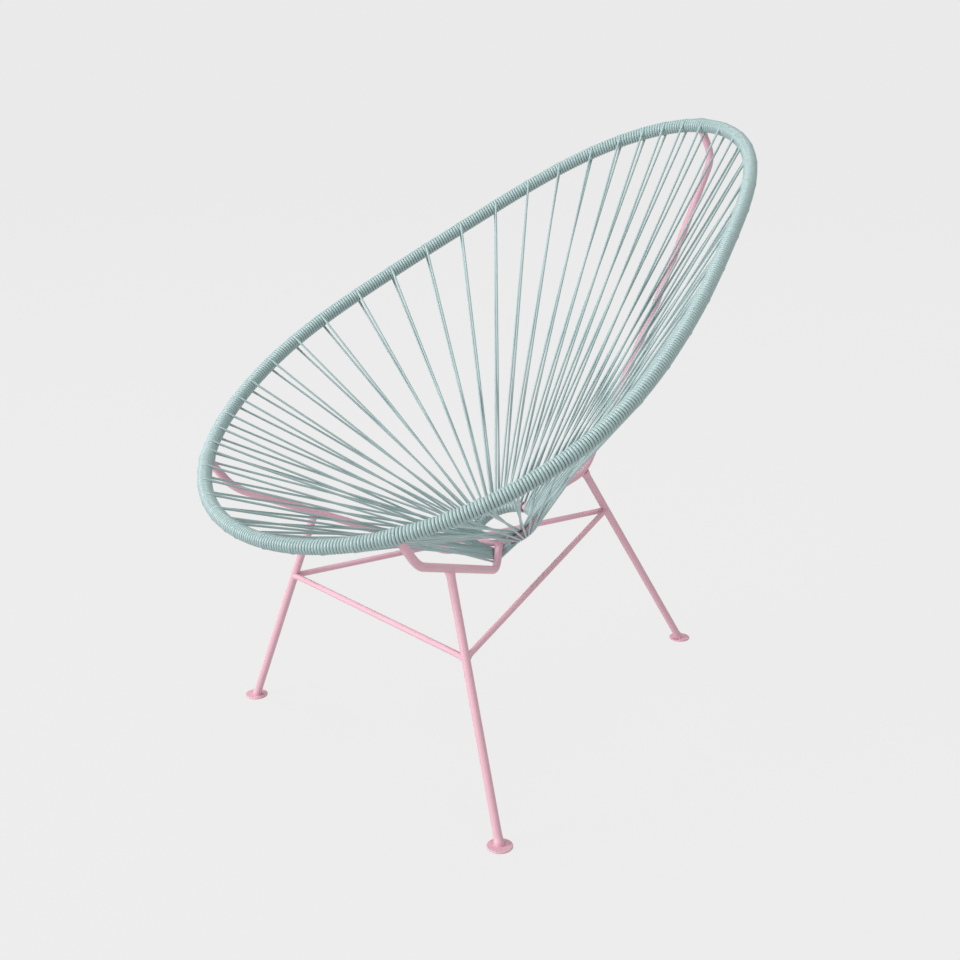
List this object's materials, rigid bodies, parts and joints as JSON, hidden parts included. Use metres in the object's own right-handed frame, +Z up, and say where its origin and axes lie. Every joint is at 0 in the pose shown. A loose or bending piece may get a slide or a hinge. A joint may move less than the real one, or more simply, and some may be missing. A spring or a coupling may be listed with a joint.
{
  "type": "acapulco chair",
  "caption": "Low patio chair: an egg-shaped sloping rim strung with plastic cord to a small hub ring, on bent rod struts with splayed, braced legs and disc feet.",
  "frame": {"origin": "on the floor under the middle of the chair's width and depth", "axes": "+Z up, +Y towards the back of the chair, +X towards the sitter's left"},
  "size_m": [0.7208, 0.9166, 0.9004],
  "materials": {
    "frame_coat": "satin powder coat on steel rod",
    "seat_cord": "smooth satin plastic cord"
  },
  "bodies": {
    "root": {"rim_hoop": "frame_coat", "hub_ring": "frame_coat", "front_right_strut": "frame_coat", "front_left_strut": "frame_coat", "back_strut": "frame_coat", "front_right_leg": "frame_coat", "front_left_leg": "frame_coat", "back_leg": "frame_coat", "front_right_foot": "frame_coat", "front_left_foot": "frame_coat", "back_foot": "frame_coat", "front_brace": "frame_coat", "right_brace": "frame_coat", "left_brace": "frame_coat", "cord_run_01": "seat_cord", "cord_run_02": "seat_cord", "cord_run_03": "seat_cord", "cord_run_04": "seat_cord", "cord_run_05": "seat_cord", "cord_run_06": "seat_cord", "cord_run_07": "seat_cord", "cord_run_08": "seat_cord", "cord_run_09": "seat_cord", "cord_run_10": "seat_cord", "cord_run_11": "seat_cord", "cord_run_12": "seat_cord", "cord_run_13": "seat_cord", "cord_run_14": "seat_cord", "cord_run_15": "seat_cord", "cord_run_16": "seat_cord", "cord_run_17": "seat_cord", "cord_run_18": "seat_cord", "cord_run_19": "seat_cord", "cord_run_20": "seat_cord", "cord_run_21": "seat_cord", "cord_run_22": "seat_cord", "cord_run_23": "seat_cord", "cord_run_24": "seat_cord", "cord_run_25": "seat_cord", "cord_run_26": "seat_cord"}
  },
  "joints": []
}
